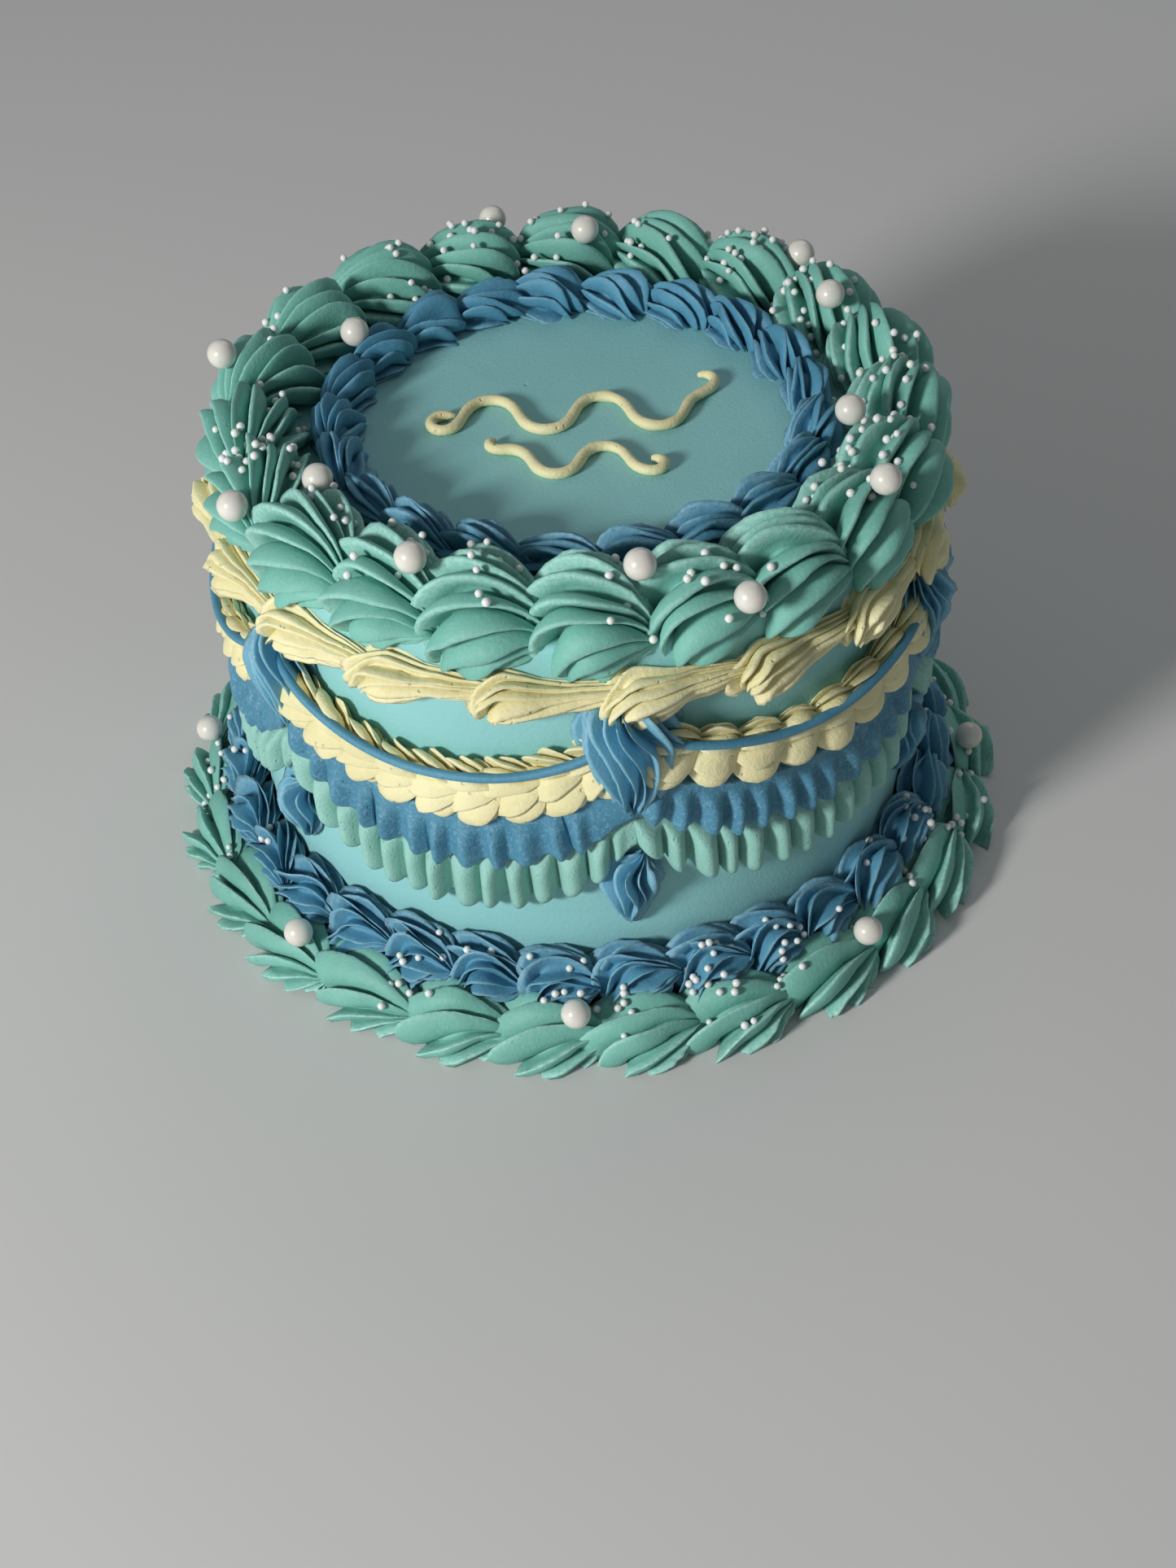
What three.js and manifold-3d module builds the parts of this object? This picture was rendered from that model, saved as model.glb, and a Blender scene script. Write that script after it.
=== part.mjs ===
// A round buttercream cake with piped shell borders, six swags of ruffles, piped stars and sugar pearls.
// Millimetres, +Z up. The origin is the centre of the flat underside, and the front faces -Y.
import * as THREE from 'three';
import { mergeVertices } from 'three/addons/utils/BufferGeometryUtils.js';
import Module from 'manifold-3d';

const wasm = await Module();
wasm.setup();

// Driving dimensions
const bodyRadius = 82.5;
const bodyHeight = 108.2;
const bodySides = 60;
const bodyEdge = 3;         // bevel of the top edge, under the border
const gap = 0.3;            // clearance between neighbouring pieces
const swagCount = 6;
const starAngle = 6.5;      // degrees round from the front, +X side positive
const pearlRadius = 3.5;
const sugarRadius = 1.15;
const stringRadius = 1.35;
const lineRadius = 1.3;     // piped line work on the top

// Where neighbouring borders part
const tealInside = 61.5;    // radius between the two top rings
const tealUnder = 102.2;    // height between the top ring and the row on the wall
const baseStep = { inner: 6.1, outer: 10.8, radius: 95.2 };

// Colours
const aqua = 0x8fc4c2;
const teal = 0x74bfae;
const blue = 0x4f86ab;
const cream = 0xefe3ae;
const pearlWhite = 0xeeeae4;

const wallRadius = bodyRadius + gap;
const footRadius = bodyRadius + 2 * gap;    // the borders' sections stand far apart, so a chord dips inwards
const topHeight = bodyHeight + gap;
const chordDip = 0.4;
const lip = 0.2;            // a foot starts this far inside the ridged line's end
const rimInner = 80;        // the top border's inner foot stays inside this radius
const curlPart = 0.26;      // share of a scroll's half length in which its end curls
const pearlStep = 0.2;      // a pearl is lowered onto the icing in steps of this size
const radians = (degrees) => degrees * Math.PI / 180;
const mix = (a, b, t) => a + (b - a) * t;

// A repeatable number from 0 to 1 for a place in a row
function chance(index, seed) {
  const wave = Math.sin(index * 12.9898 + seed * 78.233) * 43758.5453;
  return wave - Math.floor(wave);
}

const jitter = (index, seed, amount) => (2 * chance(index, seed) - 1) * amount;

// A point on the cake from its angle, radius and height
function onCake(angle, radius, z) {
  return [radius * Math.sin(angle), -radius * Math.cos(angle), z];
}

// Faces between rings of points. The rings close on themselves, and the row of rings may too.
function loftFaces(rings, first, closed) {
  const count = rings[0].length;
  const faces = [];
  const rows = closed ? rings.length : rings.length - 1;
  for (let row = 0; row < rows; row += 1) {
    const a = first + row * count;
    const b = first + ((row + 1) % rings.length) * count;
    for (let i = 0; i < count; i += 1) {
      const next = (i + 1) % count;
      faces.push(a + i, a + next, b + next, a + i, b + next, b + i);
    }
  }
  return faces;
}

function geometryOf(points, faces) {
  const geometry = new THREE.BufferGeometry();
  geometry.setAttribute('position', new THREE.Float32BufferAttribute(points.flat(), 3));
  geometry.setIndex(faces);
  return geometry;
}

// A closed ring of sections
function ringLoft(rings) {
  return geometryOf(rings.flat(), loftFaces(rings, 0, true));
}

// A row of sections between two end points
function loft(start, rings, end) {
  const points = [start, ...rings.flat(), end];
  const faces = loftFaces(rings, 1, false);
  const count = rings[0].length;
  const tail = 1 + (rings.length - 1) * count;
  for (let i = 0; i < count; i += 1) {
    const next = (i + 1) % count;
    faces.push(0, 1 + next, 1 + i, tail + i, tail + next, points.length - 1);
  }
  return geometryOf(points, faces);
}

// Closed geometry as a manifold solid, its faces turned outward
function solid(geometry) {
  const bare = geometry.clone();
  bare.deleteAttribute('normal');
  bare.deleteAttribute('uv');
  const merged = mergeVertices(bare, 1e-4);
  const vertProperties = new Float32Array(merged.attributes.position.array);
  const triVerts = new Uint32Array(merged.index.array);
  const shape = new wasm.Manifold(new wasm.Mesh({ numProp: 3, vertProperties, triVerts }));
  if (shape.volume() > 0) return shape;
  for (let i = 0; i < triVerts.length; i += 3) {
    [triVerts[i + 1], triVerts[i + 2]] = [triVerts[i + 2], triVerts[i + 1]];
  }
  return new wasm.Manifold(new wasm.Mesh({ numProp: 3, vertProperties, triVerts }));
}

const joined = (shapes) => shapes.reduce((whole, shape) => whole.add(shape));

// The largest piece, so that no loose scrap stays after a cut
function largest(shape) {
  return shape.decompose().reduce((best, piece) => (piece.volume() > best.volume() ? piece : best));
}

// How full a piped shell is along its length: a blunt head, a swelling, a thin tail
function girth(shell, t) {
  if (t < shell.peak) return mix(shell.headGirth, 1, Math.sin(0.5 * Math.PI * t / shell.peak));
  const fall = Math.cos(0.5 * Math.PI * (t - shell.peak) / (1 - shell.peak));
  return mix(shell.tailGirth, 1, fall ** 1.5);
}

// Turns of the section's points: ridges and the valleys between them, from one side to the other.
// Zero is straight out from the surface.
function ridgeTurns(shell) {
  const turns = [];
  const last = 2 * (shell.ridges - 1);
  for (let i = 0; i <= last; i += 1) {
    turns.push([mix(shell.from, shell.to, i / last), i % 2 === 0]);
  }
  return turns;
}

// The ridged part of one section: x across and y out from the surface, by larger all round
function sectionPoints(shell, t, by = 0) {
  const full = girth(shell, t);
  return ridgeTurns(shell).map(([turn, crest]) => {
    const ridge = crest ? 1 : 1 - shell.depth;
    const out = Math.cos(turn) > 0 ? shell.height : shell.under;
    const x = (shell.width * full * ridge + by) * Math.sin(turn) + shell.drift * t * t;
    const y = (out * full * ridge + by) * Math.cos(turn) + shell.lift * t * t;
    return [x, y];
  });
}

// The borders. Angles are in degrees and sizes in millimetres. first is where one head starts,
// bunching draws the shells together at the front, and drift and lift move the tail.
const topTealRow = {
  count: 20, first: -7.8, bunching: 3.5, radius: 75.2, z: 110.6, seed: 1,
  width: 13.7, height: 14.4, under: 11.8, drift: 3, lift: 0, headGirth: 0.72, tailGirth: 0.62, peak: 0.36,
  depth: 0.27, ridges: 6, from: -1.5, to: 2.35, stations: [0, 0.12, 0.4, 1],
};
const topBlueRow = {
  count: 21, first: -12, bunching: 0, radius: 56.4, z: 109.4, seed: 2,
  width: 4.8, height: 7.4, under: 3, drift: 0, lift: 0, headGirth: 0.66, tailGirth: 0.5, peak: 0.36,
  depth: 0.2, ridges: 3, from: -1.5, to: 1.2, stations: [0, 0.3, 1],
};
const yellowRow = {
  count: 18, first: -10.5, bunching: 0, radius: 83.2, z: 96.2, seed: 3,
  width: 6.7, height: 8.4, under: 3, drift: -0.6, lift: -0.5, headGirth: 0.75, tailGirth: 0.5, peak: 0.22,
  depth: 0.2, ridges: 4, from: -1.4, to: 1.4, stations: [0, 0.24, 1],
};
const baseBlueRow = {
  count: 31, first: -4, bunching: 0, radius: 85.4, z: 14.2, seed: 4,
  width: 9, height: 9, under: 4, drift: 0, lift: 0, headGirth: 0.74, tailGirth: 0.6, peak: 0.36,
  depth: 0.18, ridges: 3, from: -0.2, to: 1.85, stations: [0, 0.3, 1],
};
const baseTealRow = {
  count: 26, first: -1.5, bunching: 0, radius: 96.6, z: 1.4, seed: 5,
  width: 11, height: 13.4, under: 3, drift: 1, lift: 1.5, headGirth: 0.72, tailGirth: 0.56, peak: 0.36,
  depth: 0.2, ridges: 4, from: -0.05, to: 1.57, stations: [0, 0.3, 1],
};

// Feet close a section against what carries it. Each takes the ridged points as radius and height.
function rimFeet(points) {
  const [first, last] = [points[0], points[points.length - 1]];
  return [[footRadius, last[1] - 2 * lip], [footRadius, topHeight], [Math.min(first[0] + lip, rimInner), topHeight]];
}

function discFeet(points) {
  return [[tealInside - gap, topHeight], [points[0][0] + lip, topHeight]];
}

// The longest chords are the row's on the wall, so its feet stand off a little more
function wallFeet(points) {
  const [first, last] = [points[0], points[points.length - 1]];
  return [[footRadius + chordDip, last[1] - lip], [footRadius + chordDip, first[1] + lip]];
}

function ledgeFeet(points) {
  return [[footRadius, baseStep.inner + gap], [footRadius, points[0][1] - lip]];
}

function floorFeet() {
  return [[footRadius, 0], [footRadius, baseStep.inner], [baseStep.radius - 2 * lip, baseStep.outer - gap]];
}

// Turns a section's x and y into radius and height, and keeps it on its own side of its neighbour
const rimSection = (row) => ([x, y]) => [
  Math.max(row.radius + x, tealInside), Math.max(row.z + y, tealUnder),
];
const wallSection = (row, by) => ([x, y]) => [
  Math.max(row.radius + y, footRadius + 2 * chordDip), Math.min(row.z - x, tealUnder - gap + by),
];
const discSection = (row) => ([x, y]) => [
  Math.min(row.radius + x, tealInside - gap), Math.max(row.z + y, topHeight + lip),
];

function ledgeSection(row) {
  const slope = (baseStep.outer - baseStep.inner) / (baseStep.radius - wallRadius);
  return ([x, y]) => {
    const radius = Math.min(Math.max(row.radius + x, footRadius + lip), baseStep.radius - gap);
    const low = baseStep.inner + gap + (radius - wallRadius) * slope;
    return [radius, Math.max(row.z + y, low + lip)];
  };
}

const floorSection = (row) => ([x, y]) => [Math.max(row.radius + x, baseStep.radius), Math.max(row.z + y, 0)];

const startJitter = 1.1;    // degrees
const sizeJitter = 0.05;
const starJitter = 0.6;     // millimetres, of a star's height and of its tip sideways
const pleatJitter = 0.04;

// Where one shell of a row starts
function startAngle(row, index) {
  const even = row.first + index * 360 / row.count;
  const bunched = even - row.bunching * Math.sin(radians(even));
  return radians(bunched + jitter(index % row.count, row.seed, startJitter));
}

// One shell of a row, a little uneven
function unevenShell(row, index) {
  return {
    ...row,
    width: row.width * (1 + jitter(index, row.seed + 10, sizeJitter)),
    height: row.height * (1 + jitter(index, row.seed + 20, sizeJitter)),
  };
}

// A border is one ring of sections, in which each head rises straight out of the tail before it
function rowSolid(row, section, feet, by = 0) {
  const rings = [];
  const seam = 0.15 / row.radius;
  for (let index = 0; index < row.count; index += 1) {
    const shell = unevenShell(row, index);
    const start = startAngle(row, index) + seam;
    const end = startAngle(row, index + 1) - seam;
    for (const t of row.stations) {
      const points = sectionPoints(shell, t, by).map(section(row, by));
      rings.push([...points, ...feet(points)].map(([radius, z]) => onCake(mix(start, end, t), radius, z)));
    }
  }
  return solid(ringLoft(rings));
}

// Piped stars on the wall, head up and tail down
const largeStar = {
  top: 92, length: 32.5, width: 11.4, height: 11.4, under: 4, drift: 0, lift: 0, headGirth: 0, tailGirth: 0,
  peak: 0.3, depth: 0.26, ridges: 6, from: -1.5, to: 1.5, stations: [0.06, 0.24, 0.5, 0.78], seed: 6,
};
const smallStar = {
  top: 47.5, length: 20, width: 7.4, height: 7.8, under: 3, drift: 0, lift: 0, headGirth: 0, tailGirth: 0,
  peak: 0.34, depth: 0.26, ridges: 4, from: -1.5, to: 1.5, stations: [0.1, 0.36, 0.7], seed: 7,
};

const starTurn = (index) => radians(starAngle + index * 360 / swagCount);

function starSolid(star, index) {
  const shell = { ...star, drift: jitter(index, star.seed, starJitter) };
  const turn = starTurn(index);
  const top = star.top + jitter(index, star.seed + 10, starJitter);
  const rings = star.stations.map((t) => {
    const points = sectionPoints(shell, t).map(([x, y]) => [x, Math.max(wallRadius + y, wallRadius + lip)]);
    const feet = [0.95, 0, -0.95].map((side) => [side * shell.width * girth(shell, t), wallRadius]);
    return [...points, ...feet].map(([x, radius]) => onCake(turn + x / wallRadius, radius, top - star.length * t));
  });
  const start = onCake(turn, wallRadius + 2, top);
  const end = onCake(turn + shell.drift / wallRadius, wallRadius + 1, top - star.length);
  return solid(loft(start, rings, end));
}

// A swag hangs between two stars. across runs from -1 to 1.
const swagTurn = (index, across) => starTurn(index) + radians(180 / swagCount) * (1 + across);
const swagHeight = (swag, across) => mix(swag.middle, swag.end, across * across);

// A ruffle lies against the wall from its upper edge, and its lower edge stands out in pleats.
// high and low are how far its two edges reach towards the stars, so the pleats fan out. tuck is how far
// its underside rises to the wall, over the next ruffle's upper edge, and narrow how much less it drops
// at its ends.
const yellowRuffle = {
  middle: 75.6, end: 88.2, high: 0.69, low: 0.755, pleats: 12, drop: 15.6, narrow: 0.3, notch: 2.6, tuck: 4,
  cap: 1.8, shoulder: 4.1, crest: 5.2, valley: 3.6, seed: 11,
};
const blueRuffle = {
  middle: 63.6, end: 75.8, high: 0.74, low: 0.91, pleats: 16, drop: 18.4, narrow: 0.3, notch: 1.4, tuck: 5,
  cap: 0, shoulder: 0, crest: 6.2, valley: 3.6, seed: 12,
};
const tealRuffle = {
  middle: 49.6, end: 61.4, high: 0.93, low: 0.965, pleats: 15, drop: 16.6, narrow: 0.5, notch: 1.6, tuck: 1.4,
  cap: 0, shoulder: 0, crest: 4.8, valley: 2.6, seed: 13,
};

function ruffleSolid(ruffle, index) {
  const columns = 2 * ruffle.pleats;
  const rings = [];
  for (let column = 0; column <= columns; column += 1) {
    const along = mix(-1, 1, column / columns);
    const [high, low] = [along * ruffle.high, along * ruffle.low];
    const crest = column % 2 === 1;
    const uneven = jitter(column, ruffle.seed + index, pleatJitter);
    const deep = ruffle.drop * (1 - ruffle.narrow * along ** 4);
    const top = swagHeight(ruffle, high);
    const bottom = swagHeight(ruffle, low) - deep;
    const out = crest ? ruffle.crest : ruffle.valley;
    const edge = crest ? bottom - deep * uneven : bottom + ruffle.notch;
    const ring = [onCake(swagTurn(index, high), wallRadius, top + ruffle.cap)];
    if (ruffle.shoulder) ring.push(onCake(swagTurn(index, high), wallRadius + ruffle.shoulder, top));
    ring.push(onCake(swagTurn(index, low), wallRadius + out, edge));
    ring.push(onCake(swagTurn(index, low), wallRadius, bottom + ruffle.tuck));
    rings.push(ring);
  }
  const centre = (ring) => [0, 1, 2].map((axis) => ring.reduce((sum, point) => sum + point[axis], 0) / ring.length);
  return solid(loft(centre(rings[0]), rings, centre(rings[rings.length - 1])));
}

// The string line runs once round the cake, from star to star
const stringLine = { middle: 74.5, end: 87.4, standOff: 6.3, tuck: 2.6, steps: 36, sides: 5 };

function stringSolid(radius) {
  const rings = [];
  for (let step = 0; step < stringLine.steps; step += 1) {
    const part = step / stringLine.steps * swagCount;
    const index = Math.floor(part);
    const across = 2 * (part - index) - 1;
    const out = bodyRadius + stringLine.standOff - stringLine.tuck * across ** 8;
    const ring = [];
    for (let side = 0; side < stringLine.sides; side += 1) {
      const round = 2 * Math.PI * side / stringLine.sides;
      const z = swagHeight(stringLine, across) + radius * Math.sin(round);
      ring.push(onCake(swagTurn(index, across), out + radius * Math.cos(round), z));
    }
    rings.push(ring);
  }
  return solid(ringLoft(rings));
}

// The iced body: a plain drum with a bevelled top edge
function bodySolid() {
  const profile = [
    new THREE.Vector2(0, 0), new THREE.Vector2(bodyRadius, 0), new THREE.Vector2(bodyRadius, bodyHeight - bodyEdge),
    new THREE.Vector2(bodyRadius - bodyEdge, bodyHeight), new THREE.Vector2(0, bodyHeight),
  ];
  const lathe = new THREE.LatheGeometry(profile, bodySides);
  lathe.rotateX(Math.PI / 2);
  return solid(lathe);
}

// A sphere with few sides
function ballSolid(radius, point, segments = 6, rows = 4) {
  const ball = new THREE.SphereGeometry(radius, segments, rows);
  ball.rotateX(Math.PI / 2);
  ball.translate(...point);
  return solid(ball);
}

// Sugar pearls: angle and radius of each centre, on the top border and on the base border
const topPearls = [
  [176.3, 67], [-167, 86], [-120, 60.4], [-100, 83.5], [-60, 66], [-61, 86], [-26.3, 79],
  [9.2, 77], [23.6, 87], [53.2, 82.4], [71.3, 65], [116, 69.4], [135, 82],
];
const basePearls = [-45, -2.7, 41, 86, 132, 178, -138, -94];
const basePearlRadius = 99.5;

const pearlStart = { top: bodyHeight + 24, base: 30 };

// Lowers a pearl until it rests on the icing, with the clearance left between them
function settledPearl(angle, radius, height, icing) {
  let z = height;
  const touches = (level) => !ballSolid(pearlRadius + gap, onCake(angle, radius, level)).intersect(icing).isEmpty();
  while (!touches(z - pearlStep)) z -= pearlStep;
  return onCake(angle, radius, z);
}

// Sugar balls fused to the crests of every few shells of a row
function sugarBalls(row, section, every, seed) {
  const balls = [];
  for (let index = 0; index < row.count; index += every) {
    const shell = unevenShell(row, index);
    const t = mix(0.3, 0.55, chance(index, seed));
    const points = sectionPoints(shell, t, 0.5 * sugarRadius).map(section(row, 0));
    const [radius, z] = points[2 * Math.floor(mix(0.3, shell.ridges - 1.5, chance(index, seed + 1)))];
    const angle = mix(startAngle(row, index), startAngle(row, index + 1), t);
    balls.push(ballSolid(sugarRadius, onCake(angle, radius, z), 5, 3));
  }
  return balls;
}

// Line work on the top: two rows of piped waves, a wide one above a narrow one
const lineSides = 5;
const lineHeight = topHeight + lineRadius;
const scrolls = [
  { name: 'scroll_wide', y: 9, length: 122, waves: 3, swing: 1.25, curl: 3.7 },
  { name: 'scroll_narrow', y: -13, length: 66, waves: 2, swing: 1.2, curl: 3.3 },
];

// The line's heading swings to and fro like a river's, and at its ends it curls in
function scrollPath(scroll) {
  const steps = scroll.waves * 16;
  const points = [new THREE.Vector3(0, 0, 0)];
  for (let step = 0; step < steps; step += 1) {
    const along = 2 * (step + 0.5) / steps - 1;
    const ending = Math.max(0, Math.abs(along) - 1 + curlPart) / curlPart;
    const swing = scroll.swing * Math.cos(Math.PI * scroll.waves * along) * (1 - ending);
    const heading = swing + Math.sign(along) * scroll.curl * ending ** 1.5;
    const last = points[points.length - 1];
    const stride = scroll.length / steps;
    points.push(new THREE.Vector3(last.x + stride * Math.cos(heading), last.y + stride * Math.sin(heading), 0));
  }
  const middle = new THREE.Box3().setFromPoints(points).getCenter(new THREE.Vector3());
  const shift = new THREE.Vector3(-middle.x, scroll.y - middle.y, lineHeight);
  return new THREE.CatmullRomCurve3(points.map((point) => point.add(shift)));
}

function scrollSolid(scroll) {
  const outline = new THREE.Shape();
  for (let side = 0; side < lineSides; side += 1) {
    const turn = 2 * Math.PI * side / lineSides;
    outline[side ? 'lineTo' : 'moveTo'](lineRadius * Math.cos(turn), lineRadius * Math.sin(turn));
  }
  return solid(new THREE.ExtrudeGeometry(outline, { steps: scroll.waves * 9, extrudePath: scrollPath(scroll) }));
}

const stringCut = stringSolid(stringRadius + gap);
const yellowCut = rowSolid(yellowRow, wallSection, wallFeet, gap + lip);

const sugaredRow = (row, section, feet, every, seed) => joined([
  rowSolid(row, section, feet), ...sugarBalls(row, section, every, seed),
]);

const topTeal = sugaredRow(topTealRow, rimSection, rimFeet, 3, 41);
const topBlue = rowSolid(topBlueRow, discSection, discFeet);
const topYellow = rowSolid(yellowRow, wallSection, wallFeet);
const baseBlue = sugaredRow(baseBlueRow, ledgeSection, ledgeFeet, 5, 51);
const baseTeal = sugaredRow(baseTealRow, floorSection, floorFeet, 4, 61);
const icing = joined([topTeal, topBlue, baseTeal, baseBlue, bodySolid()]);
const pearlPoints = [
  ...topPearls.map(([angle, radius]) => settledPearl(radians(angle), radius, pearlStart.top, icing)),
  ...basePearls.map((angle) => settledPearl(radians(angle), basePearlRadius, pearlStart.base, icing)),
];

const pieces = new Map();
pieces.set('cake_body', [bodySolid(), aqua]);
pieces.set('border_top_teal', [topTeal, teal]);
pieces.set('border_top_blue', [topBlue, blue]);
pieces.set('border_top_yellow', [topYellow, cream]);
pieces.set('border_base_blue', [baseBlue, blue]);
pieces.set('border_base_teal', [baseTeal, teal]);
pieces.set('swag_string', [stringSolid(stringRadius), blue]);
for (let index = 0; index < swagCount; index += 1) {
  const number = index + 1;
  pieces.set(`star_large_${number}`, [starSolid(largeStar, index).subtract(yellowCut).subtract(stringCut), blue]);
  pieces.set(`star_small_${number}`, [starSolid(smallStar, index), blue]);
  pieces.set(`swag_ruffle_yellow_${number}`, [ruffleSolid(yellowRuffle, index), cream]);
  pieces.set(`swag_ruffle_blue_${number}`, [ruffleSolid(blueRuffle, index), blue]);
  pieces.set(`swag_ruffle_teal_${number}`, [ruffleSolid(tealRuffle, index), teal]);
}
for (const scroll of scrolls) {
  pieces.set(scroll.name, [scrollSolid(scroll), cream]);
}
pearlPoints.forEach((point, index) => {
  pieces.set(`pearl_${index + 1}`, [ballSolid(pearlRadius, point), pearlWhite]);
});

const group = new THREE.Group();
for (const [name, [shape, color]] of pieces) {
  const { vertProperties, triVerts } = largest(shape).getMesh();
  const geometry = new THREE.BufferGeometry();
  geometry.setAttribute('position', new THREE.Float32BufferAttribute(vertProperties, 3));
  geometry.setIndex(Array.from(triVerts));
  const flat = geometry.toNonIndexed();
  flat.computeVertexNormals();
  const roughness = color === pearlWhite ? 0.25 : 0.6;
  const mesh = new THREE.Mesh(flat, new THREE.MeshStandardMaterial({ color, roughness, metalness: 0 }));
  mesh.name = name;
  group.add(mesh);
}

export default group;
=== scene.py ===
import math
import bpy
import numpy as np
from mathutils import Matrix, Vector
from mathutils.bvhtree import BVHTree


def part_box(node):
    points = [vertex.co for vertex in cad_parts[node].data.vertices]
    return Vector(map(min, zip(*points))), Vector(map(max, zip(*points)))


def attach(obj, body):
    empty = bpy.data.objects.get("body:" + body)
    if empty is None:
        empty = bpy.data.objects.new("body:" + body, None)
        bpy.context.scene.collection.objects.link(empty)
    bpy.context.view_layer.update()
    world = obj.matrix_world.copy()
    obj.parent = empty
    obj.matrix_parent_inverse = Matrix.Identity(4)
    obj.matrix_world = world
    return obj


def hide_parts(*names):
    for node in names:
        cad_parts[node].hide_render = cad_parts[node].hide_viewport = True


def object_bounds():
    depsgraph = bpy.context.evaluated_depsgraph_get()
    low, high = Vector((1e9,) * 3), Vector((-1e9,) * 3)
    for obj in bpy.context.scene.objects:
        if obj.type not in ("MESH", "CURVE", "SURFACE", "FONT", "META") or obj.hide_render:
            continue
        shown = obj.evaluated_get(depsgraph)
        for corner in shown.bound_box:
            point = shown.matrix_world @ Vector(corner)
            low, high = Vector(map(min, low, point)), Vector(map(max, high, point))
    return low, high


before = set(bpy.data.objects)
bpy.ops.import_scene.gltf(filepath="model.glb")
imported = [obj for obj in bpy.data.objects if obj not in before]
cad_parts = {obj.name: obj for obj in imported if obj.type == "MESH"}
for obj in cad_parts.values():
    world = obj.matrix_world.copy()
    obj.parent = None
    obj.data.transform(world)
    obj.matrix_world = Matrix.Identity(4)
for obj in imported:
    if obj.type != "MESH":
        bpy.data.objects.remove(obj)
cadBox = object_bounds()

mm = 0.001
bodyRadius = 82.5
bodyHeight = 108.2
wallRadius = bodyRadius + 0.3
swagCount = 6
starAngle = 6.5  # degrees round from the front, +X side positive

# What the repeatable chance below is made from
scramble = {"steps": (12.9898, 78.233, 37.719), "size": 43758.5453, "shift": 17.31}


# Repeatable chance, the same as the solids use
def chance(index, seed):
    wave = math.sin(index * scramble["steps"][0] + seed * scramble["steps"][1]) * scramble["size"]
    return wave - math.floor(wave)


def jitter(index, seed, amount):
    return (2 * chance(index, seed) - 1) * amount


def mix(a, b, t):
    return a + (b - a) * t


def smooth(t):
    t = np.clip(t, 0, 1)
    return t * t * (3 - 2 * t)


def unit(vector):
    vector = np.array(vector, float)
    return vector / np.linalg.norm(vector)


# Points round the cake from angle in radians, radius and height, all in mm
def onCake(angle, radius, z):
    angle, radius, z = np.broadcast_arrays(angle, radius, z)
    return np.stack([radius * np.sin(angle), -radius * np.cos(angle), z], -1)


# Smooth value noise from -1 to 1 over points in mm
def softNoise(points, size, seed):
    spot = np.asarray(points, float) / size + seed * scramble["shift"]
    cell = np.floor(spot)
    part = spot - cell
    part = part * part * (3 - 2 * part)
    total = np.zeros(len(spot))
    for corner in range(8):
        step = np.array([corner & 1, corner >> 1 & 1, corner >> 2 & 1])
        key = (cell + step) @ np.array(scramble["steps"])
        value = np.sin(key + seed) * scramble["size"]
        value = value - np.floor(value)
        weight = np.prod(np.where(step, part, 1 - part), axis=1)
        total += weight * value
    return 2 * total - 1


# One closed mesh object from points in mm, with an edge attribute that marks where painted highlight goes on
# the icing's crests
def meshObject(name, points, faces, edge=None):
    mesh = bpy.data.meshes.new(name)
    mesh.from_pydata((np.asarray(points) * mm).tolist(), [], faces)
    mesh.update()
    if signedVolume(mesh) < 0:
        mesh.flip_normals()
    pale = mesh.attributes.new("edge", "FLOAT", "POINT")
    if edge is not None:
        pale.data.foreach_set("value", np.asarray(edge, float))
    mesh.polygons.foreach_set("use_smooth", [True] * len(mesh.polygons))
    obj = bpy.data.objects.new(name, mesh)
    bpy.context.scene.collection.objects.link(obj)
    return obj


def signedVolume(mesh):
    mesh.calc_loop_triangles()
    spots = np.empty(len(mesh.vertices) * 3)
    mesh.vertices.foreach_get("co", spots)
    spots = spots.reshape(-1, 3)
    corners = np.empty(len(mesh.loop_triangles) * 3, int)
    mesh.loop_triangles.foreach_get("vertices", corners)
    a, b, c = (spots[corners.reshape(-1, 3)[:, i]] for i in range(3))
    return float(np.sum(a * np.cross(b, c)) / 6)


# Quads between the rows of a grid whose columns close on themselves
def gridFaces(rows, columns):
    faces = []
    for row in range(rows - 1):
        for column in range(columns):
            nextColumn = (column + 1) % columns
            a = row * columns
            b = a + columns
            faces.append((a + column, a + nextColumn, b + nextColumn, b + column))
    return faces


# Triangles from one row of a grid to the point that caps it
def poleFaces(ring, pole, reverse):
    faces = []
    for i in range(len(ring)):
        pair = (ring[i], ring[(i + 1) % len(ring)])
        faces.append((pair[1], pair[0], pole) if reverse else (pair[0], pair[1], pole))
    return faces


# Faces of a closed form, with a pole at each end. The points of the two poles come after the grid's.
def closedFaces(rows, columns):
    count = rows * columns
    faces = gridFaces(rows, columns)
    faces += poleFaces(list(range(columns)), count, True)
    faces += poleFaces([count - columns + i for i in range(columns)], count + 1, False)
    return faces


# Points, faces and painted crest highlights of several meshes as one
def gathered(parts):
    points, faces, edges, first = [], [], [], 0
    for part, partFaces, edge in parts:
        points.append(part)
        edges.append(edge)
        faces.extend([tuple(first + i for i in face) for face in partFaces])
        first += len(part)
    return np.concatenate(points), faces, np.concatenate(edges)
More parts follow.
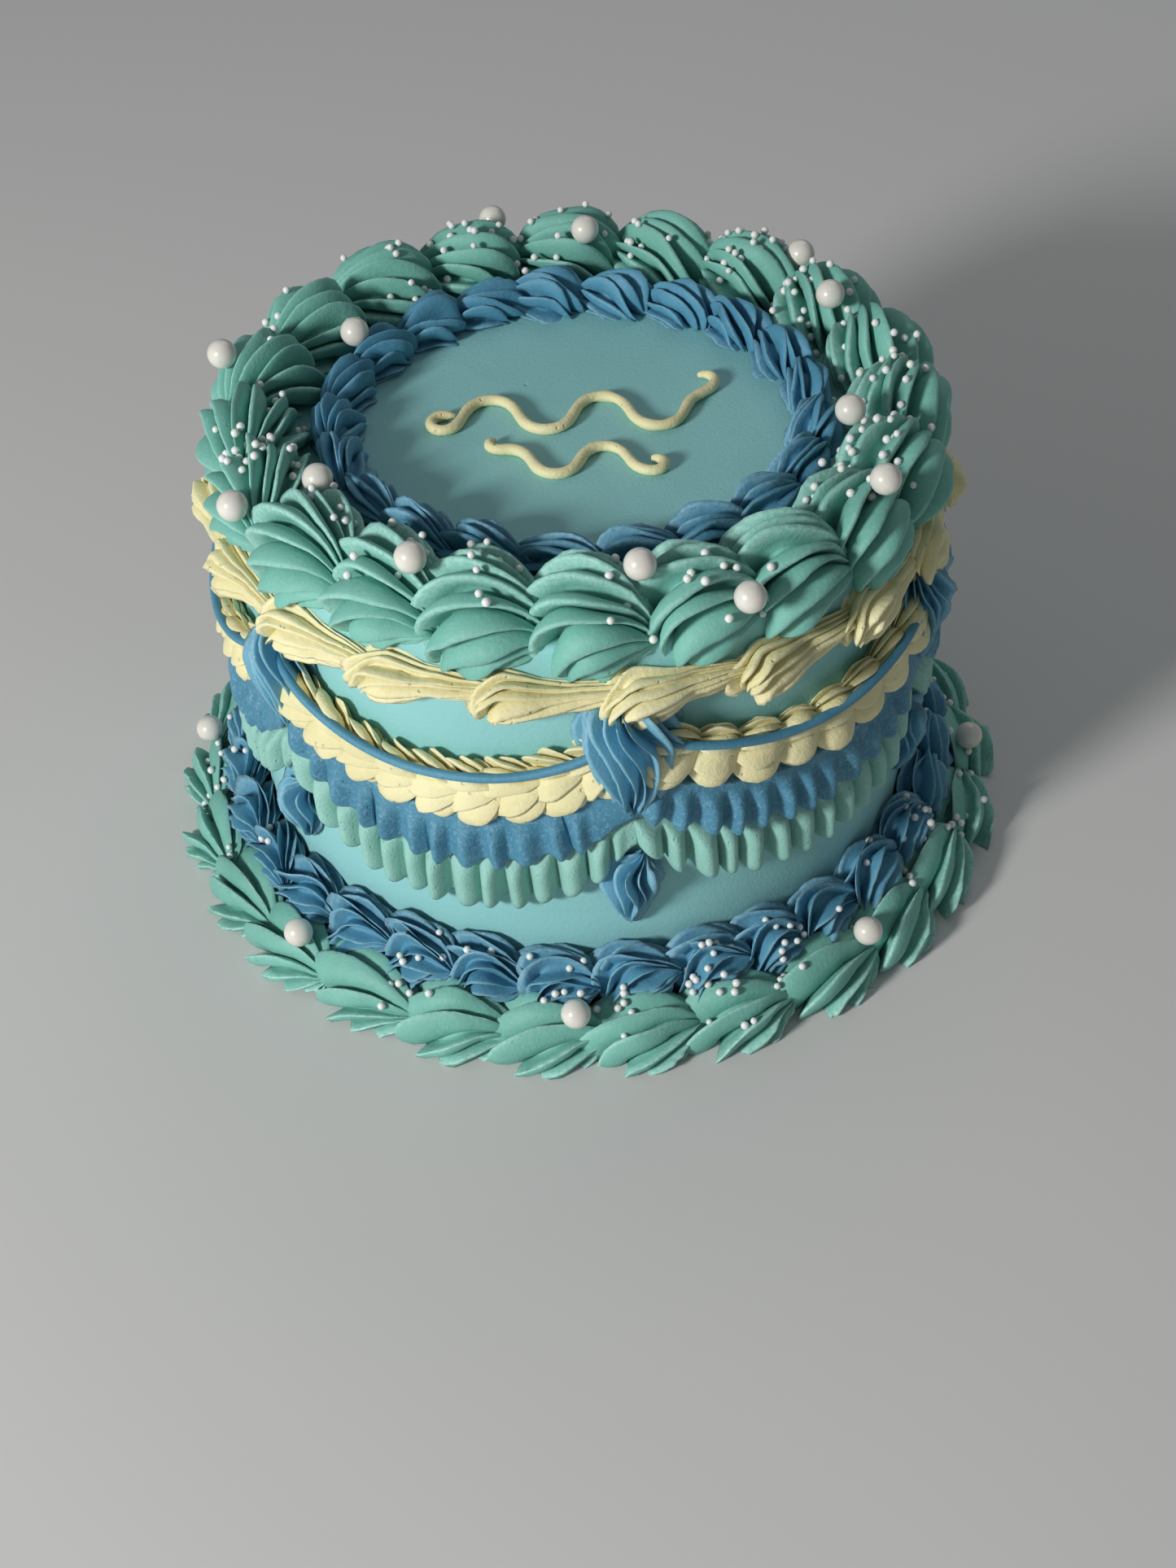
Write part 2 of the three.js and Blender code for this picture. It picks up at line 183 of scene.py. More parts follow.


# Icing: fine grain, soft lighter and darker patches, a painted highlight along the crests broken up by noise,
# pale flecks of painted glint, and small air holes
def icingMaterial(name, look):
    material = bpy.data.materials.new(name)
    material.use_nodes = True
    tree = material.node_tree
    tree.nodes.clear()

    def add(kind, **values):
        node = tree.nodes.new(kind)
        for key, value in values.items():
            setattr(node, key, value)
        return node

    def join(source, target):
        tree.links.new(source, target)

    place = add("ShaderNodeTexCoord").outputs["Object"]
    output = add("ShaderNodeOutputMaterial")
    shader = add("ShaderNodeBsdfPrincipled")
    shader.inputs["Roughness"].default_value = look["roughness"]
    shader.inputs["Subsurface Weight"].default_value = look["glow"]
    shader.inputs["Subsurface Radius"].default_value = look["glowRadius"]
    shader.inputs["Subsurface Scale"].default_value = look["glowScale"]
    shader.inputs["Specular IOR Level"].default_value = look["shine"]
    join(shader.outputs[0], output.inputs["Surface"])

    def noise(size, detail, roughness=0.55):
        node = add("ShaderNodeTexNoise")
        node.inputs["Scale"].default_value = 1 / size
        node.inputs["Detail"].default_value = detail
        node.inputs["Roughness"].default_value = roughness
        join(place, node.inputs["Vector"])
        return node.outputs["Fac"]

    def ramp(source, low, high, dark, light):
        node = add("ShaderNodeMapRange")
        node.inputs["From Min"].default_value = low
        node.inputs["From Max"].default_value = high
        node.inputs["To Min"].default_value = dark
        node.inputs["To Max"].default_value = light
        join(source, node.inputs["Value"])
        return node.outputs["Result"]

    def blend(factor, first, second):
        node = add("ShaderNodeMix", data_type="RGBA")
        join(factor, node.inputs["Factor"])
        for value, socket in ((first, node.inputs[6]), (second, node.inputs[7])):
            if isinstance(value, tuple):
                socket.default_value = (*value, 1)
            else:
                join(value, socket)
        return node.outputs[2]

    cloudy = ramp(noise(look["cloud"], 3), *look["cloudRange"], 0, 1)
    colour = blend(cloudy, look["dark"], look["light"])
    # pale flecks of painted glint, standing in for the shine of the icing
    glintFlecks = ramp(noise(look["glintFleckSize"], 2, 0.7), *look["glintFleckRange"], 0, look["glintFleckShare"])
    colour = blend(glintFlecks, colour, look["pale"])
    # painted highlight on the crests where the edge attribute marks them, broken up by noise
    crest = add("ShaderNodeAttribute", attribute_name="edge").outputs["Fac"]
    crestHighlight = add("ShaderNodeMath", operation="MULTIPLY")
    join(crest, crestHighlight.inputs[0])
    crestHighlightLeast = look["crestHighlightLeast"] * look["edge"]
    join(ramp(noise(look["crestHighlightSize"], 2), *look["crestHighlightRange"], crestHighlightLeast, look["edge"]), crestHighlight.inputs[1])
    colour = blend(crestHighlight.outputs[0], colour, look["pale"])
    join(colour, shader.inputs["Base Color"])

    # grain, and an air hole at the middle of each scattered cell
    grain = add("ShaderNodeBump")
    grain.inputs["Strength"].default_value = look["grain"]
    grain.inputs["Distance"].default_value = look["grainHeight"]
    join(noise(look["grainSize"], 4, 0.65), grain.inputs["Height"])
    cells = add("ShaderNodeTexVoronoi")
    cells.inputs["Scale"].default_value = 1 / look["holeGap"]
    join(place, cells.inputs["Vector"])
    holes = add("ShaderNodeBump")
    holes.inputs["Strength"].default_value = look["holes"]
    holes.inputs["Distance"].default_value = look["holeDepth"]
    hollow = ramp(cells.outputs["Distance"], 0.4 * look["holeSize"], look["holeSize"], 0, 1)
    join(hollow, holes.inputs["Height"])
    join(grain.outputs[0], holes.inputs["Normal"])
    join(holes.outputs[0], shader.inputs["Normal"])
    return material


# Sizes are in metres, and dark, light and pale are colours; pale is painted highlight on the crests and in
# the flecks, and edge is how strongly the painted crest highlight shows
icingLook = {
    "roughness": 0.55, "glow": 0.1, "glowRadius": (0.7, 1.0, 0.9), "glowScale": 0.0016, "shine": 0.4,
    "cloud": 0.03, "cloudRange": (0.3, 0.7), "glintFleckSize": 0.0012, "glintFleckRange": (0.5, 0.72), "glintFleckShare": 0.1,
    "edge": 0.5, "crestHighlightSize": 0.0011, "crestHighlightRange": (0.35, 0.6), "crestHighlightLeast": 0.35,
    "grain": 0.32, "grainSize": 0.0009, "grainHeight": 0.0006,
    "holes": 0.4, "holeGap": 0.009, "holeSize": 0.06, "holeDepth": 0.0008,
}
aquaLook = {
    **icingLook, "dark": (0.255, 0.565, 0.58), "light": (0.285, 0.61, 0.625), "pale": (0.42, 0.75, 0.76),
    "glintFleckShare": 0.05, "grain": 0.24, "cloud": 0.06, "holes": 0.5, "holeGap": 0.02, "holeSize": 0.03,
}
tealLook = {
    **icingLook, "dark": (0.15, 0.41, 0.35), "light": (0.2, 0.51, 0.44), "pale": (0.48, 0.79, 0.73),
    "edge": 0.8,
}
blueLook = {
    **icingLook, "dark": (0.062, 0.235, 0.365), "light": (0.095, 0.305, 0.45), "pale": (0.36, 0.6, 0.7),
    "edge": 0.55,
}
creamLook = {
    **icingLook, "dark": (0.72, 0.67, 0.37), "light": (0.84, 0.8, 0.5), "pale": (0.92, 0.9, 0.68),
    "grain": 0.5, "grainSize": 0.0013, "holes": 0.6, "holeGap": 0.004, "holeSize": 0.12, "edge": 0.45,
}
# The stars are of the same blue icing; this lighter copy is painted light, brightening them against the shade
# in their grooves
starLighterBlueLook = {**blueLook, "dark": (0.105, 0.34, 0.5), "light": (0.155, 0.42, 0.585)}
# The ruffles' icing is more open: coarser grain and many air holes
spongy = {
    "grain": 0.5, "grainSize": 0.0007, "holes": 0.5, "holeGap": 0.0024, "holeSize": 0.16, "roughness": 0.42,
}
# the ruffle icings carry more painted glint flecks, larger on the blue
spongyBlueLook = {
    **blueLook, **spongy, "dark": (0.05, 0.205, 0.325), "light": (0.085, 0.28, 0.42), "glintFleckShare": 0.34,
    "glintFleckSize": 0.0009,
}
spongyTealLook = {
    **tealLook, **spongy, "dark": (0.25, 0.51, 0.45), "light": (0.3, 0.6, 0.53), "glintFleckShare": 0.25,
    "glintFleckSize": 0.0006,
}

aquaIcing = icingMaterial("aqua buttercream", aquaLook)
tealIcing = icingMaterial("teal buttercream", tealLook)
blueIcing = icingMaterial("blue buttercream", blueLook)
creamIcing = icingMaterial("cream buttercream", creamLook)
starLighterBlueIcing = icingMaterial("blue buttercream painted lighter for the stars", starLighterBlueLook)
spongyBlueIcing = icingMaterial("spongy blue buttercream", spongyBlueLook)
spongyTealIcing = icingMaterial("spongy teal buttercream", spongyTealLook)


# Sugar: a clear coat over a softly mottled shell
def sugarMaterial(name, look):
    material = bpy.data.materials.new(name)
    material.use_nodes = True
    tree = material.node_tree
    shader = tree.nodes["Principled BSDF"]
    shader.inputs["Roughness"].default_value = look["roughness"]
    shader.inputs["Coat Weight"].default_value = look["coat"]
    shader.inputs["Coat Roughness"].default_value = look["coatRoughness"]
    shader.inputs["Subsurface Weight"].default_value = look["glow"]
    shader.inputs["Subsurface Radius"].default_value = look["glowRadius"]
    shader.inputs["Subsurface Scale"].default_value = look["glowScale"]
    place = tree.nodes.new("ShaderNodeTexCoord")
    noise = tree.nodes.new("ShaderNodeTexNoise")
    noise.inputs["Scale"].default_value = 1 / look["size"]
    tree.links.new(place.outputs["Object"], noise.inputs["Vector"])
    tint = tree.nodes.new("ShaderNodeMix")
    tint.data_type = "RGBA"
    tint.inputs[6].default_value = (*look["dark"], 1)
    tint.inputs[7].default_value = (*look["light"], 1)
    tree.links.new(noise.outputs["Fac"], tint.inputs["Factor"])
    tree.links.new(tint.outputs[2], shader.inputs["Base Color"])
    bump = tree.nodes.new("ShaderNodeBump")
    bump.inputs["Strength"].default_value = look["grain"]
    bump.inputs["Distance"].default_value = look["grainHeight"]
    tree.links.new(noise.outputs["Fac"], bump.inputs["Height"])
    tree.links.new(bump.outputs[0], shader.inputs["Normal"])
    return material


sugarLook = {
    "coatRoughness": 0.12, "glow": 0.15, "glowRadius": (1, 0.9, 0.8), "glowScale": 0.001,
    "grainHeight": 0.0002,
}
pearlLook = {
    **sugarLook, "dark": (0.66, 0.64, 0.58), "light": (0.82, 0.8, 0.75), "roughness": 0.3, "coat": 0.7,
    "size": 0.002, "grain": 0.05,
}
ballLook = {
    **sugarLook, "dark": (0.74, 0.76, 0.75), "light": (0.88, 0.9, 0.88), "roughness": 0.45, "coat": 0.1,
    "size": 0.0006, "grain": 0.2,
}
pearlSugar = sugarMaterial("pearly sugar", pearlLook)
whiteSugar = sugarMaterial("white sugar", ballLook)
print("materials made")


# Geometry Nodes: shapes from a collection, one on each point and turned with it, then a little uneven
def repeatTree(name):
    tree = bpy.data.node_groups.new(name, "GeometryNodeTree")
    face = tree.interface
    face.new_socket("Geometry", in_out="INPUT", socket_type="NodeSocketGeometry")
    shapes = face.new_socket("Shapes", in_out="INPUT", socket_type="NodeSocketCollection")
    unevenBy = face.new_socket("Uneven By", in_out="INPUT", socket_type="NodeSocketFloat")
    unevenSize = face.new_socket("Uneven Size", in_out="INPUT", socket_type="NodeSocketFloat")
    finish = face.new_socket("Finish", in_out="INPUT", socket_type="NodeSocketMaterial")
    face.new_socket("Geometry", in_out="OUTPUT", socket_type="NodeSocketGeometry")
    make = tree.nodes.new
    join = tree.links.new
    inside = make("NodeGroupInput")
    outside = make("NodeGroupOutput")
    info = make("GeometryNodeCollectionInfo")
    info.inputs["Separate Children"].default_value = True
    info.inputs["Reset Children"].default_value = True
    join(inside.outputs["Shapes"], info.inputs["Collection"])

    def attribute(name, kind):
        node = make("GeometryNodeInputNamedAttribute")
        node.data_type = kind
        node.inputs["Name"].default_value = name
        return node.outputs["Attribute"]

    spread = make("GeometryNodeInstanceOnPoints")
    join(inside.outputs["Geometry"], spread.inputs["Points"])
    join(info.outputs[0], spread.inputs["Instance"])
    spread.inputs["Pick Instance"].default_value = True
    join(attribute("kind", "INT"), spread.inputs["Instance Index"])
    join(attribute("turn", "FLOAT_VECTOR"), spread.inputs["Rotation"])
    join(attribute("size", "FLOAT_VECTOR"), spread.inputs["Scale"])
    realize = make("GeometryNodeRealizeInstances")
    join(spread.outputs[0], realize.inputs[0])
    noise = make("ShaderNodeTexNoise")
    noise.inputs["Detail"].default_value = 3
    noiseScale = make("ShaderNodeMath")
    noiseScale.operation = "DIVIDE"
    noiseScale.inputs[0].default_value = 1
    join(inside.outputs["Uneven Size"], noiseScale.inputs[1])
    join(noiseScale.outputs[0], noise.inputs["Scale"])
    spot = make("GeometryNodeInputPosition")
    join(spot.outputs[0], noise.inputs["Vector"])
    centred = make("ShaderNodeVectorMath")
    centred.operation = "SUBTRACT"
    join(noise.outputs["Color"], centred.inputs[0])
    centred.inputs[1].default_value = (0.5, 0.5, 0.5)
    scaled = make("ShaderNodeVectorMath")
    scaled.operation = "SCALE"
    join(centred.outputs[0], scaled.inputs[0])
    join(inside.outputs["Uneven By"], scaled.inputs["Scale"])
    move = make("GeometryNodeSetPosition")
    join(realize.outputs[0], move.inputs["Geometry"])
    join(scaled.outputs[0], move.inputs["Offset"])
    paint = make("GeometryNodeSetMaterial")
    join(move.outputs[0], paint.inputs["Geometry"])
    join(inside.outputs["Finish"], paint.inputs["Material"])
    join(paint.outputs[0], outside.inputs[0])
    sockets = {"shapes": shapes, "unevenBy": unevenBy, "unevenSize": unevenSize, "finish": finish}
    return tree, {key: socket.identifier for key, socket in sockets.items()}


rowTree, rowSockets = repeatTree("shapes on points")


# Spreads shapes over points with the tree, and returns the result as one plain mesh object
def repeated(name, shapes, points, turns, sizes, kinds, material, unevenBy=0.0, unevenSize=0.01):
    count = len(points)
    base = bpy.data.meshes.new(name)
    base.from_pydata([tuple(p) for p in points], [], [])
    for key, kind, values in (("turn", "FLOAT_VECTOR", turns), ("size", "FLOAT_VECTOR", sizes)):
        layer = base.attributes.new(key, kind, "POINT")
        layer.data.foreach_set("vector", np.asarray(values, float).reshape(count, 3).ravel())
    layer = base.attributes.new("kind", "INT", "POINT")
    layer.data.foreach_set("value", np.asarray(kinds, int))
    carrier = bpy.data.objects.new(name + "Points", base)
    bpy.context.scene.collection.objects.link(carrier)
    group = bpy.data.collections.new(name + "Shapes")
    for shape in shapes:
        for owner in list(shape.users_collection):
            owner.objects.unlink(shape)
        group.objects.link(shape)
    modifier = carrier.modifiers.new("rows", "NODES")
    modifier.node_group = rowTree
    modifier[rowSockets["shapes"]] = group
    modifier[rowSockets["unevenBy"]] = unevenBy
    modifier[rowSockets["unevenSize"]] = unevenSize
    modifier[rowSockets["finish"]] = material
    bpy.context.view_layer.update()
    evaluated = carrier.evaluated_get(bpy.context.evaluated_depsgraph_get())
    mesh = bpy.data.meshes.new_from_object(evaluated)
    mesh.name = name
    obj = bpy.data.objects.new(name, mesh)
    bpy.context.scene.collection.objects.link(obj)
    if not mesh.materials:
        mesh.materials.append(material)
    carrier.modifiers.remove(modifier)
    bpy.data.objects.remove(carrier)
    for shape in shapes:
        bpy.data.objects.remove(shape)
    bpy.data.collections.remove(group)
    return obj


# Across one rib of piped icing: place, height, painted crest highlight. The crest leans over the valley
# beside it.
ribProfile = np.array([
    (0.0, 0.0, 0), (0.08, 0.2, 0), (0.24, 0.46, 0), (0.48, 0.72, 0), (0.74, 0.9, 0),
    (0.94, 0.98, 0.1), (1.03, 1.0, 1), (1.05, 0.9, 0.7), (0.985, 0.5, 0), (0.97, 0.14, 0),
])
# The same, lower and rounder, for the cream shells on the wall
softProfile = np.array([
    (0.0, 0.0, 0), (0.1, 0.28, 0), (0.3, 0.66, 0), (0.58, 0.92, 0.05), (0.82, 1.0, 0.5), (0.93, 0.82, 0.3),
    (0.95, 0.35, 0),
])
# Tongues of icing: rounded bands with deep, narrow folds between them
tongueProfile = np.array([
    (0.0, 0.0, 0), (0.1, 0.12, 0), (0.22, 0.36, 0), (0.4, 0.64, 0), (0.62, 0.85, 0), (0.84, 0.97, 0),
    (0.97, 1.0, 0.5), (1.05, 0.9, 0.8), (1.01, 0.45, 0), (0.98, 0.1, 0),
])
# Wide hollow channels between thin crests, as a fine star tip leaves them
sharpProfile = np.array([
    (0.0, 0.0, 0), (0.3, 0.12, 0), (0.62, 0.44, 0), (0.88, 0.86, 0.1), (1.0, 1.0, 1), (1.03, 0.7, 0.4),
    (0.985, 0.2, 0),
])


# Ribs round a shell, no two alike: places from 0 to 1, heights, painted highlight on the crests, and phases
# for their waves
def ribsRound(shape, rng):
    profile = shape["profile"]
    ribs = shape["ribs"]
    starts = (np.arange(ribs) + rng.uniform(-shape["ribShift"], shape["ribShift"], ribs)) / ribs
    widths = np.diff(np.append(starts, starts[0] + 1))
    place = (starts[:, None] + widths[:, None] * profile[None, :, 0]).ravel()
    height = ((1 - rng.uniform(0, shape["ribSpread"], ribs))[:, None] * profile[None, :, 1]).ravel()
    edge = np.tile(profile[:, 2], ribs)
    phases = np.repeat(rng.uniform(0, 2 * math.pi, (2, ribs)), len(profile), axis=1)
    place = place + rng.uniform(0, 1 / ribs)
    place = place - shape["crowd"] * np.sin(2 * math.pi * place) / (2 * math.pi)
    return place, height, edge, phases


# Points of a unit sphere on circles through its tail and its head. Turn picks the circle, t runs along it.
def throughPoles(tail, head, turn, t):
    axis = unit(tail - head)
    middle = (tail + head) / 2
    reach = np.linalg.norm(middle)
    half = math.sqrt(1 - reach * reach)
    far = -middle / reach
    side = np.cross(axis, far)
    offset = reach * np.cos(turn)
    radius = np.sqrt(half * half + offset * offset)
    swing = np.arctan2(half, -offset) * (1 - 2 * t)
    spoke = np.cos(turn)[..., None] * far + np.sin(turn)[..., None] * side
    on = middle + spoke * (offset + radius * np.cos(swing))[..., None]
    return on + axis * (radius * np.sin(swing))[..., None]


# How full the shell is from tail to head: folds between its ribs, crests that flare, a hollow at the end
def foldedSize(shape, t, height):
    swell = np.sin(math.pi * t)
    tailFade = np.minimum(1, shape["tailOpen"] * swell) ** shape["merge"]
    fade = np.where(t < 0.5, tailFade, np.minimum(1, shape["open"] * swell))
    full = 1 - shape["dimple"] * smooth((t - shape["curlFrom"]) / (1 - shape["curlFrom"]))
    flare = shape["flare"] * smooth((t - shape["flareFrom"]) / shape["flareOver"])
    flare = flare * (1 - smooth((t - shape["flareTo"]) / shape["flareEnd"]))
    deeper = 1 + shape["deepen"] * smooth((t - shape["deepFrom"]) / shape["deepOver"])
    depth = shape["depth"] * deeper * (1 - height)
    return full * (1 - depth * fade + flare * np.maximum(0, height) ** 3)


# The tail made slimmer, and the head let down
def slimmed(shape, points):
    slimOver = shape["slimTo"] - shape["slimFrom"]
    slim = 1 - shape["slim"] * smooth((points[..., 0] - shape["slimFrom"]) / slimOver)
    slim = slim * (1 - shape["cone"] * np.maximum(0, points[..., 0]) / shape["right"])
    points[..., 1] *= slim
    points[..., 2] = points[..., 2] * slim + shape["droop"] * smooth(-points[..., 0] / shape["left"])
    return points


# A piped shell about its own centre, in mm: x along the row towards the tail, y out, z up. Its ribs are
# circles on a sphere through two poles, where the tail pinches off and where the head curls under.
def shellShape(shape, seed):
    rng = np.random.default_rng(seed)
    tail = unit(unit(shape["tailPole"]) + rng.normal(0, shape["loose"], 3))
    head = unit(unit(shape["headPole"]) + rng.normal(0, shape["headLooser"] * shape["loose"], 3))
    place, height, edge, phases = ribsRound(shape, rng)
    t = np.linspace(0, 1, shape["rows"] + 2)[1:-1]
    t = mix(t, 0.5 - 0.5 * np.cos(math.pi * t), 0.5)[:, None]
    turn = -2 * math.pi * shape["hand"] * place[None, :]
    turn = turn + shape["twist"] * (t - 0.5) + shape["sway"] * np.sin(2 * math.pi * t)
    turn = turn + shape["wander"] * np.sin(shape["wanderWaves"] * t + phases[0])
    height = height * (1 + shape["crestWave"] * np.sin(shape["crestWaves"] * t + phases[1]))
    on = throughPoles(tail, head, turn, t)
    wobble = rng.normal(0, 1, (len(t), len(place))) * shape["ragged"] * edge[None, :]
    size = foldedSize(shape, t, height) * (1 + wobble)
    grow = 1 + rng.uniform(-shape["growBy"], shape["growBy"], 3)
    axes = np.stack([
        np.where(on[..., 0] < 0, shape["left"], shape["right"]) * grow[0],
        np.where(on[..., 1] < 0, shape["inner"], shape["outer"]) * grow[1],
        np.where(on[..., 2] < 0, shape["under"], shape["over"]) * grow[2],
    ], -1)
    points = slimmed(shape, on * axes * size[..., None])
    near = np.exp(-(np.arccos(np.clip(on @ tail, -1, 1)) / shape["pullOver"]) ** 2)
    points = points + near[..., None] * shape["pull"] * tail
    tailPoint = points[0].mean(0) + shape["tailTip"] * tail
    allPoints = np.vstack([points.reshape(-1, 3), tailPoint, points[-1].mean(0)])
    # painted highlight on the crests, fading towards the tail and the head
    pale = (edge[None, :] * np.minimum(1, shape["paleOpen"] * np.sin(math.pi * t))).ravel()
    return allPoints, closedFaces(len(t), len(place)), np.append(pale, [0, 0])


# The shell bent round the front of the cake. The points of its row turn it to its own place.
def shellOnRow(row, number):
    points, faces, pale = shellShape(row, 100 * row["seed"] + number)
    under = np.minimum(points[:, 2], row["floor"] - row["z"])
    points = points * ((row["floor"] - row["z"]) / under)[:, None]
    spots = onCake(points[:, 0] / row["radius"], row["radius"] + points[:, 1], row["z"] + points[:, 2])
    return meshObject(f"shell{number}", spots, faces, pale)


# Where a shell's stretch of its row begins, in radians round from the front
def startAngle(row, index):
    even = row["first"] + index * 360 / row["count"]
    bunched = even - row["bunching"] * math.sin(math.radians(even))
    return math.radians(bunched + jitter(index % row["count"], row["seed"], row["unevenStart"]))


# No shell reaches further out than the solid does, or into the floor
reachLimit = cadBox[1][1] - 0.1 * mm
lowest = 0.02 * mm


def shellRow(name, row, material):
    kinds = [shellOnRow(row, number) for number in range(row["kinds"])]
    turns, picks = [], []
    # the last shell is never of the first one's kind
    for index in range(row["count"]):
        start = startAngle(row, index)
        end = startAngle(row, index + 1)
        turns.append((0, 0, mix(start, end, row["centre"])))
        picks.append(index % row["kinds"] if index < row["count"] - 1 else row["kinds"] // 2)
    spots = [(0, 0, 0)] * row["count"]
    sizes = [(1, 1, 1)] * row["count"]
    obj = repeated(name, kinds, spots, turns, sizes, picks, material, row["unevenBy"], row["unevenSize"])
    for vertex in obj.data.vertices:
        inward = min(1, reachLimit / vertex.co.xy.length)
        vertex.co = (vertex.co.x * inward, vertex.co.y * inward, max(lowest, vertex.co.z))
    return obj


# Lengths are in mm, the row's angles in degrees, and unevenBy and unevenSize in metres
shellBase = {
    "profile": ribProfile, "loose": 0.07, "headLooser": 1.4, "ribShift": 0.15, "ribSpread": 0.18,
    "twist": 0.0, "sway": 0.0, "crowd": 0.3, "depth": 0.33, "deepen": 0.35, "deepFrom": 0.3, "deepOver": 0.4,
    "flare": 0.06, "flareFrom": 0.35, "flareOver": 0.4, "flareTo": 0.86, "flareEnd": 0.1,
    "open": 2.6, "tailOpen": 1.5, "paleOpen": 2.5, "merge": 0.8, "dimple": 0.3, "curlFrom": 0.84,
    "ragged": 0.011, "slim": 0.0, "slimFrom": 0, "slimTo": 10, "cone": 0.0, "droop": 0.0,
    "pull": 1.5, "pullOver": 0.4, "tailTip": 0.2,
    "growBy": 0.05, "hand": 1, "wander": 0.045, "wanderWaves": 8, "crestWave": 0.06, "crestWaves": 12,
    "rows": 24, "kinds": 7, "floor": 0.1, "bunching": 0, "unevenStart": 1.1,
    "unevenBy": 0.0018, "unevenSize": 0.012,
}
topTealRow = {
    **shellBase, "profile": tongueProfile, "count": 20, "first": -7.8, "bunching": 3.5, "radius": 75.2,
    "z": 110.6, "seed": 1, "centre": 0.42,
    "left": 12.4, "right": 15.6, "inner": 13.6, "outer": 14.0, "over": 14.2, "under": 12.2,
    "tailPole": (0.9, 0.36, -0.24), "headPole": (-0.2, 0.26, -0.92), "ribs": 17, "flare": 0.12, "crowd": 0.4,
    "depth": 0.46, "flareTo": 0.92, "open": 4.5, "dimple": 0.2,
}
topBlueRow = {
    **shellBase, "profile": tongueProfile, "count": 21, "first": -12, "radius": 56.4, "z": 109.4, "seed": 2,
    "centre": 0.42, "left": 9.2, "right": 11.4, "inner": 7.2, "outer": 6.4, "over": 9.6, "under": 3,
    "tailPole": (0.9, 0.2, -0.1), "headPole": (-0.5, -0.3, -0.8), "ribs": 15, "kinds": 6, "rows": 18,
    "unevenBy": 0.0022, "depth": 0.46, "flare": 0.14, "wander": 0.12, "open": 4, "crestWave": 0.12,
    "ragged": 0.018,
}
yellowRow = {
    **shellBase, "profile": softProfile, "count": 19, "first": -14.8, "radius": 83.2, "z": 96.4, "seed": 3,
    "centre": 0.2, "left": 8.0, "right": 31, "inner": 6, "outer": 8.0, "over": 6.4, "under": 6.8,
    "tailPole": (0.96, 0.2, 0.1), "headPole": (-0.42, 0.45, -0.78), "ribs": 17, "slim": 0.36, "slimFrom": 1,
    "slimTo": 12, "depth": 0.4, "kinds": 6, "rows": 34, "unevenBy": 0.0032, "droop": -1.2, "flare": 0.14,
    "flareTo": 0.92, "open": 4, "ragged": 0.026, "crestWave": 0.14, "wander": 0.08,
}
baseBlueRow = {
    **shellBase, "profile": sharpProfile, "count": 32, "first": 0.4, "radius": 86.4, "z": 13.4, "seed": 4,
    "centre": 0.42, "left": 9.6, "right": 11.2, "inner": 6, "outer": 9.0, "over": 9.8, "under": 8.4,
    "tailPole": (0.88, 0.4, 0.0), "headPole": (-0.35, 0.58, -0.73), "ribs": 20, "rows": 20,
    "unevenBy": 0.002, "depth": 0.44, "flare": 0.1, "flareTo": 0.9, "open": 3.6, "wander": 0.13,
    "crestWave": 0.16, "ragged": 0.018,
}
baseTealRow = {
    **shellBase, "count": 26, "first": 0.6, "radius": 94.2, "z": 2.4, "seed": 5,
    "centre": 0.42, "left": 13.8, "right": 14.6, "inner": 8, "outer": 13.2, "over": 11.8, "under": 12,
    "tailPole": (0.9, 0.3, 0.22), "headPole": (-0.42, 0.36, -0.83), "ribs": 14, "merge": 1.2,
    "depth": 0.37, "dimple": 0.0, "flare": 0.2, "flareTo": 0.96, "open": 5, "ragged": 0.014, "hand": -1,
    "crestWave": 0.08, "crowd": 0.0,
}

topTeal = shellRow("topTealShells", topTealRow, tealIcing)
topBlue = shellRow("topBlueShells", topBlueRow, blueIcing)
topYellow = shellRow("creamWallShells", yellowRow, creamIcing)
baseBlue = shellRow("baseBlueShells", baseBlueRow, blueIcing)
baseTeal = shellRow("baseTealShells", baseTealRow, tealIcing)
print("shell borders piped")


# The iced drum, turned with a soft top edge and smoothed by hand
bodyShape = {
    "columns": 180, "wallRows": 44, "edgeRows": 6, "topRows": 30, "foot": 0.6, "footTaper": 0.2,
    "plainFoot": 0.3, "edge": 2.4, "centre": 0.8,
    "waveBy": 0.28, "waveSize": 26, "scrapeBy": 0.1, "scrapeSize": 9,
}


